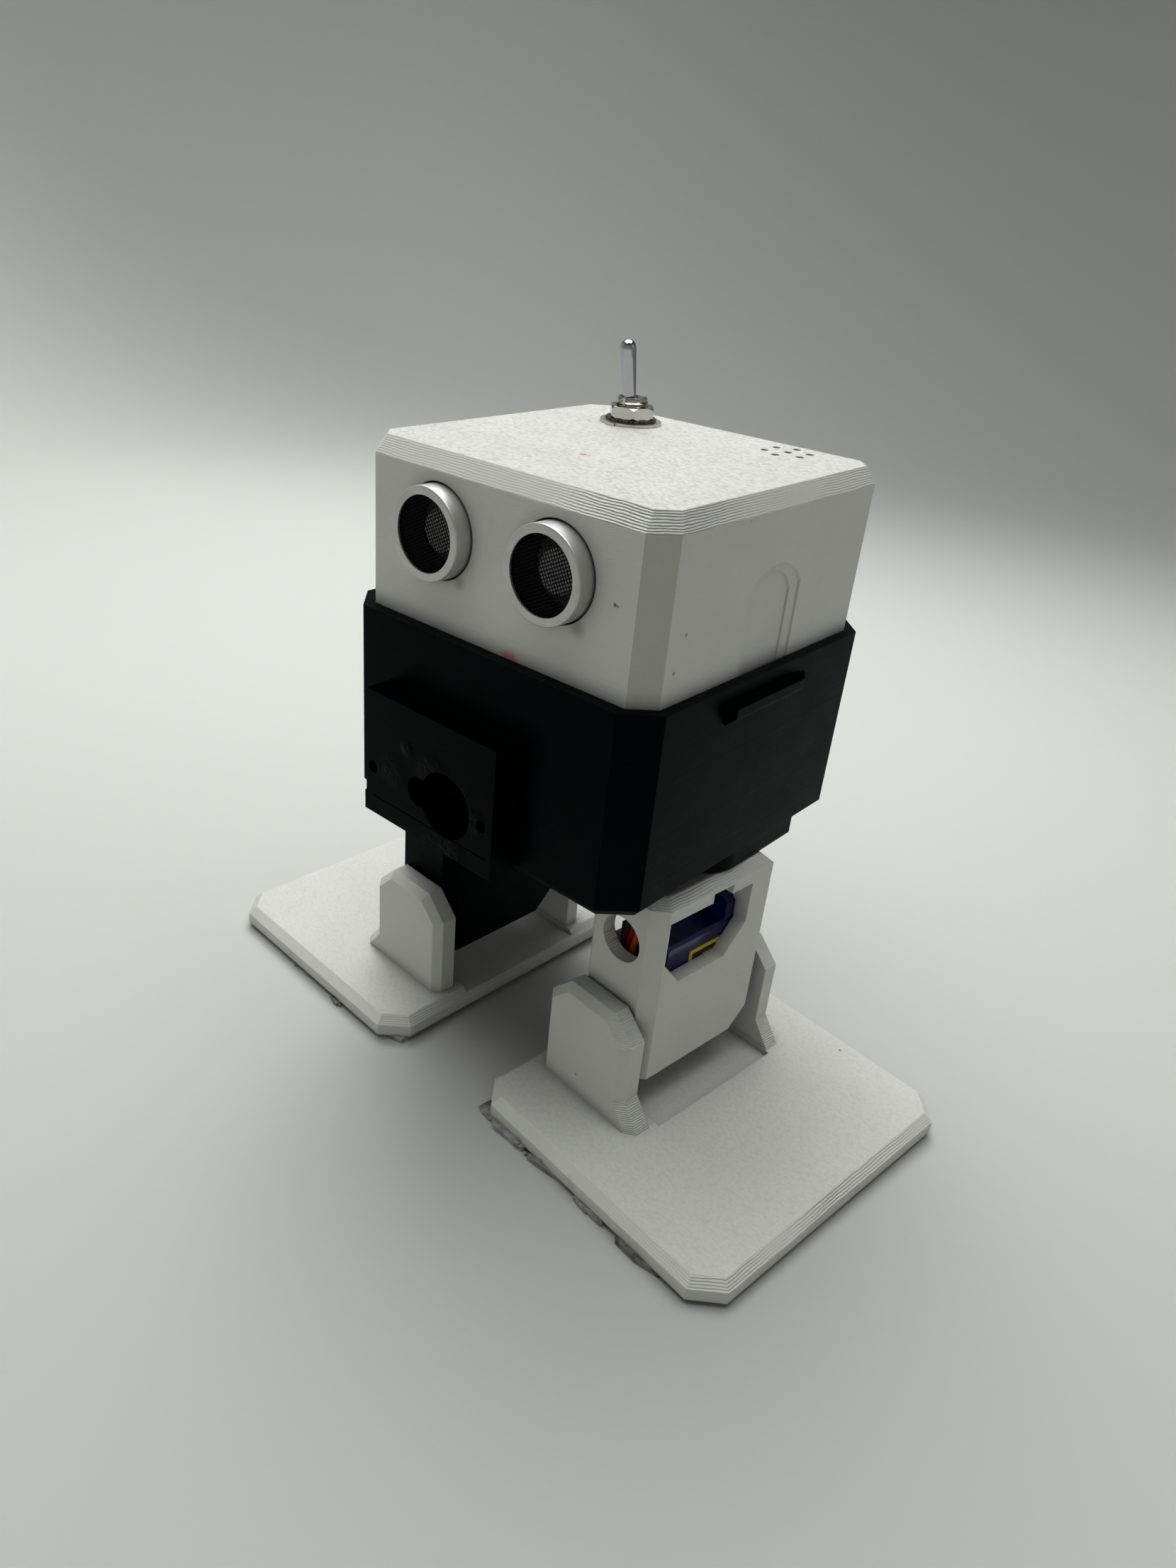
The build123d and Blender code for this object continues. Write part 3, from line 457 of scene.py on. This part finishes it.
def lathe_y(cx, cz, profile, sides=64):
    """Closed solid of revolution about an axis along Y; profile is (radius, y), millimetres."""
    verts, faces = [], []
    n = len(profile)
    for k in range(sides):
        t = 2 * math.pi * k / sides
        for r, y in profile:
            verts.append(Vector((cx + r * math.cos(t), y, cz + r * math.sin(t))) * MM)
    for k in range(sides):
        j = (k + 1) % sides
        for i in range(n - 1):
            faces.append((k * n + i, k * n + i + 1, j * n + i + 1, j * n + i))
    return verts, faces


# ------------------------------------------------------------------ eyes: woven mesh and what lies behind it
PITCH, WIRE, WEAVE_TURN = 0.56, 0.10, math.radians(28)
for word in ("left", "right"):
    lo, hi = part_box("sensor_can_" + word)
    cx, cz = (lo.x + hi.x) / 2 / MM, (lo.z + hi.z) / 2 / MM
    front = lo.y / MM
    y0 = front + 0.66
    R = 6.7
    parts = []
    count = int(R / PITCH)
    for i in range(-count, count + 1):
        u = i * PITCH
        half = math.sqrt(max(R * R - u * u, 0.01))
        steps = max(4, int(2 * half / (PITCH / 2)))
        for kind in (0, 1):
            pts = []
            for s in range(steps + 1):
                w = -half + 2 * half * s / steps
                wave = math.cos(math.pi * w / PITCH + (math.pi if (i + kind) % 2 else 0)) * 0.075
                x, zz = (u, w) if kind == 0 else (w, u)
                x, zz = x * math.cos(WEAVE_TURN) - zz * math.sin(WEAVE_TURN), x * math.sin(WEAVE_TURN) + zz * math.cos(WEAVE_TURN)
                pts.append(Vector((cx + x, y0 + (wave if kind == 0 else -wave), cz + zz)) * MM)
            parts.append(tube_along(pts, WIRE * MM, 4))
    v, f = gather(parts)
    mesh_piece("sensor_weave_" + word, v, f, wire_dark, "torso")
    # dark sleeve behind the weave, and the pale cone of the transducer deeper inside
    v, f = lathe_y(cx, cz, [(7.0, y0 + 0.5), (7.0, y0 + 9.6), (0.01, y0 + 9.6), (0.01, y0 + 9.2), (6.6, y0 + 9.2),
                            (6.55, y0 + 5.0), (5.9, y0 + 4.8), (5.9, y0 + 4.3), (6.55, y0 + 4.1), (6.7, y0 + 0.5), (7.0, y0 + 0.5)])
    mesh_piece("sensor_sleeve_" + word, v, f, core_dark, "torso", replaces=("sensor_mesh_" + word,))
    v, f = lathe_y(cx, cz, [(0.01, y0 + 4.3), (1.2, y0 + 4.1), (1.6, y0 + 3.7), (3.2, y0 + 2.9), (3.5, y0 + 2.9), (3.8, y0 + 3.2),
                            (3.8, y0 + 5.0), (6.0, y0 + 5.2), (6.0, y0 + 6.0), (0.01, y0 + 6.0)])
    mesh_piece("sensor_cone_" + word, v, f, core_plate, "torso")

# ------------------------------------------------------------------ switch bushing with its screw thread
lo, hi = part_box("toggle_bushing")
bx, by = (lo.x + hi.x) / 2 / MM, (lo.y + hi.y) / 2 / MM
zb, zt = lo.z / MM, hi.z / MM
SIDES, THREAD = 72, 0.78
rows = int((zt - zb - 0.5) / 0.055)
verts, faces = [], []
levels = [zb + (zt - 0.42 - zb) * i / rows for i in range(rows + 1)]
prof_in = [(2.62, zt), (2.05, zt - 2.9), (1.72, zt - 5.0), (1.72, zb)]
for k in range(SIDES):
    a = 2 * math.pi * k / SIDES
    slotted = abs(((math.degrees(a) + 90) + 180) % 360 - 180) < 8
    column = []
    for z in levels:
        ph = (z / THREAD - k / SIDES) % 1.0
        r = 3.04 - 0.36 * (1 - abs(2 * ph - 1)) ** 0.8
        if slotted and z > zt - 4.3:
            r = 2.66
        column.append((r, z))
    column += [(2.78 if not slotted else 2.66, zt - 0.12), (2.70 if not slotted else 2.65, zt)] + prof_in
    for r, z in column:
        verts.append(Vector((bx + r * math.cos(a), by + r * math.sin(a), z)) * MM)
n = len(column)
for k in range(SIDES):
    j = (k + 1) % SIDES
    for i in range(n):
        faces.append((k * n + i, k * n + (i + 1) % n, j * n + (i + 1) % n, j * n + i))
mesh_piece("toggle_bushing_thread", verts, faces, nickel, "torso", smooth=False, replaces=("toggle_bushing",))

# ------------------------------------------------------------------ torn bits of foam tape under the feet's front edges
import random
rnd = random.Random(7)


def scrap(name, side, yaw, x0, x1, out, zt, word):
    """A torn strip that peeps out under a foot's front edge; x runs outwards from the hip, out is how far it shows."""
    hip_x, hip_y = (26.525 if side > 0 else -27.475), 4.019
    a = math.radians(yaw)
    nx = max(6, int((x1 - x0) / 0.7))
    verts, faces = [], []
    for layer in (0, 1):
        for i in range(nx + 1):
            t = i / nx
            x = x0 + (x1 - x0) * t
            shape = math.sin(math.pi * min(max(t, 0.02), 0.98)) ** 0.5
            jag = out * shape * (0.55 + 0.45 * rnd.random())
            for j, y in enumerate((-36.5, -39.0 - 0.1 * jag, -39.2 - jag)):
                z = (0.06 if layer == 0 else zt * (0.75 + 0.5 * rnd.random()) * (1.0 if j < 2 else 0.45))
                lx, ly = side * x, y
                verts.append(Vector((hip_x + lx * math.cos(a) - ly * math.sin(a), hip_y + lx * math.sin(a) + ly * math.cos(a), z)) * MM)
    row = 3
    n = (nx + 1) * row
    for i in range(nx):
        for j in range(row - 1):
            q = (i * row + j, (i + 1) * row + j, (i + 1) * row + j + 1, i * row + j + 1)
            faces.append(q)
            faces.append(tuple(n + k for k in reversed(q)))
    for i in range(nx):
        for j in (0, row - 1):
            q = (i * row + j, (i + 1) * row + j, n + (i + 1) * row + j, n + i * row + j)
            faces.append(q)
    for i in (0, nx):
        for j in range(row - 1):
            faces.append((i * row + j, i * row + j + 1, n + i * row + j + 1, n + i * row + j))
    mesh_piece(name, verts, faces, foam_mat, word + "_foot", smooth=False)


scrap("foam_scrap_a", 1, -6, -13.0, -7.2, 0.9, 1.1, "left")
scrap("foam_scrap_d", 1, -6, 14.6, 21.6, 0.8, 1.2, "left")
scrap("foam_scrap_e", -1, -3, 4.0, 7.0, 0.3, 1.0, "right")

def crumbs(name, side, yaw, spots, word):
    """Torn lumps of foam that cling to the plate's lower front edge: (x along the edge, size) each."""
    hip_x, hip_y = (26.525 if side > 0 else -27.475), 4.019
    a = math.radians(yaw)
    bm = bmesh.new()
    for x, size in spots:
        pts = []
        for _ in range(11):
            lx = side * (x + rnd.uniform(-1.0, 1.0) * size)
            ly = -39.1 - abs(rnd.uniform(0.0, 1.1)) * size
            z = 0.08 + rnd.uniform(0.0, 1.6) * size
            v = Vector((hip_x + lx * math.cos(a) - ly * math.sin(a), hip_y + lx * math.sin(a) + ly * math.cos(a), z)) * MM
            pts.append(bm.verts.new(v))
        res = bmesh.ops.convex_hull(bm, input=pts, use_existing_faces=False)
        drop = [e for e in res["geom_interior"] if isinstance(e, bmesh.types.BMVert)]
        drop += [e for e in res["geom_unused"] if isinstance(e, bmesh.types.BMVert)]
        bmesh.ops.delete(bm, geom=list(set(drop)), context="VERTS")
    me = bpy.data.meshes.new(name)
    bm.to_mesh(me)
    bm.free()
    me.materials.append(foam_mat)
    o = bpy.data.objects.new(name, me)
    scene.collection.objects.link(o)
    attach(o, word + "_foot")


crumbs("foam_crumbs_left", 1, -6, [(-12.6, 0.6), (-7.0, 0.6), (-4.8, 0.8), (-3.8, 1.2), (-2.6, 1.0), (-1.2, 1.1), (0.2, 0.9), (1.4, 0.8),
                                   (2.4, 0.6), (15.0, 0.7), (21.6, 0.8)], "left")
crumbs("foam_crumbs_right", -1, -3, [(3.8, 0.5), (5.0, 1.0), (6.3, 0.7), (21.5, 0.5)], "right")

# ------------------------------------------------------------------ floor, light, camera
def floor():
    m = Mat("studio_floor")
    p = m.pos()
    xyz = m.n("ShaderNodeSeparateXYZ")
    m.link(p, xyz.inputs[0])
    across = m.math("ADD", m.math("MULTIPLY", xyz.outputs[0], 0.72), m.math("MULTIPLY", xyz.outputs[1], 0.69))
    col = m.mix(m.noise(p, 3, 3), (0.615, 0.623, 0.60), (0.64, 0.648, 0.625))
    depth = m.math("ADD", m.math("MULTIPLY", xyz.outputs[0], -0.66), m.math("MULTIPLY", xyz.outputs[1], 0.75))
    far = m.math("ADD", depth, m.math("MULTIPLY", across, 0.35))
    side = m.math("ADD", across, m.math("MULTIPLY", depth, 0.3))
    # painted shade: the floor is painted darker towards the camera, towards the back wall and towards the right,
    # standing in for how the light falls off
    col = m.mix(m.rng(depth, -0.20, 0.20, 0.52, 0, True), col, (0.38, 0.385, 0.37))
    col = m.mix(m.rng(far, 0.30, 0.70, 0, 1, True), col, (0.37, 0.375, 0.36))
    col = m.mix(m.rng(side, 0.12, 0.75, 0, 0.62, True), col, (0.21, 0.215, 0.205))
    m.link(col, m.b.inputs["Base Color"])
    m.set(Roughness=0.75)
    m.b.inputs["Specular IOR Level"].default_value = 0.25
    prof = [(0.0, 0.0), (0.25, 0.0), (0.5, 0.0)]
    R0, RC = 0.56, 0.42
    for i in range(25):
        a = math.radians(90 * i / 24)
        prof.append((R0 + RC * math.sin(a), RC * (1 - math.cos(a))))
    prof.append((R0 + RC, 1.3))
    verts, faces = [], []
    S, n = 96, len(prof)
    for k in range(S):
        t = 2 * math.pi * k / S
        for r, z in prof:
            verts.append((max(r, 1e-4) * math.cos(t), max(r, 1e-4) * math.sin(t), z))
    for k in range(S):
        j = (k + 1) % S
        for i in range(n - 1):
            faces.append((k * n + i, j * n + i, j * n + i + 1, k * n + i + 1))
    me = bpy.data.meshes.new("studio_floor")
    me.from_pydata(verts, [], faces)
    for poly in me.polygons:
        poly.use_smooth = True
    me.materials.append(m.m)
    o = bpy.data.objects.new("studio_floor", me)
    scene.collection.objects.link(o)


floor()


def area(name, at, look, size, power, colour=(1, 1, 1)):
    d = bpy.data.lights.new(name, "AREA")
    d.shape = "RECTANGLE"
    d.size, d.size_y = size
    d.energy = power
    d.color = colour
    o = bpy.data.objects.new(name, d)
    scene.collection.objects.link(o)
    o.location = at
    o.rotation_euler = (Vector(look) - Vector(at)).to_track_quat("-Z", "Y").to_euler()
    return o


area("soft_wide", (-0.14, 0.12, 0.92), (0, 0, 0.05), (1.10, 1.10), 9.0)
area("soft_key", (-0.34, 0.30, 0.80), (0, 0, 0.06), (0.42, 0.42), 2.4)
area("soft_side", (0.75, 0.35, 0.42), (0, 0, 0.07), (0.40, 0.55), 0.25)
world = bpy.data.worlds.new("studio")
scene.world = world
world.use_nodes = True
wt = world.node_tree
wt.nodes.clear()
w_out = wt.nodes.new("ShaderNodeOutputWorld")
w_bg = wt.nodes.new("ShaderNodeBackground")
w_dir = wt.nodes.new("ShaderNodeTexCoord")
w_dot = wt.nodes.new("ShaderNodeVectorMath")
w_dot.operation = "DOT_PRODUCT"
w_dot.inputs[1].default_value = (0.66, -0.75, 0.0)
w_map = wt.nodes.new("ShaderNodeMapRange")
for i, k in enumerate((-0.1, 0.8, 0.15, 0.005)):
    w_map.inputs[i + 1].default_value = k
wt.links.new(w_dir.outputs["Generated"], w_dot.inputs[0])
wt.links.new(w_dot.outputs["Value"], w_map.inputs[0])
wt.links.new(w_map.outputs[0], w_bg.inputs["Strength"])
w_bg.inputs["Color"].default_value = (0.95, 0.98, 0.92, 1)
wt.links.new(w_bg.outputs[0], w_out.inputs[0])
scene.view_settings.view_transform = "Standard"
scene.view_settings.gamma = 0.8
scene.view_settings.exposure = 0.10

cam = bpy.data.cameras.new("camera")
cam.sensor_width = 36.0
cam.lens = 25.021
cam.shift_x, cam.shift_y = 0.0381, -0.0080
cam.clip_start = 0.005
camera = bpy.data.objects.new("camera", cam)
scene.collection.objects.link(camera)
right = Vector((0.7246911, 0.68596417, 0.06539091))
up = Vector((-0.36576867, 0.30251467, 0.88017))
forward = Vector((-0.58398295, 0.66176887, -0.47013389))
rot = Matrix((right, up, -forward)).transposed()
camera.matrix_world = Matrix.Translation((0.118673, -0.150330, 0.161764)) @ rot.to_4x4()
scene.camera = camera
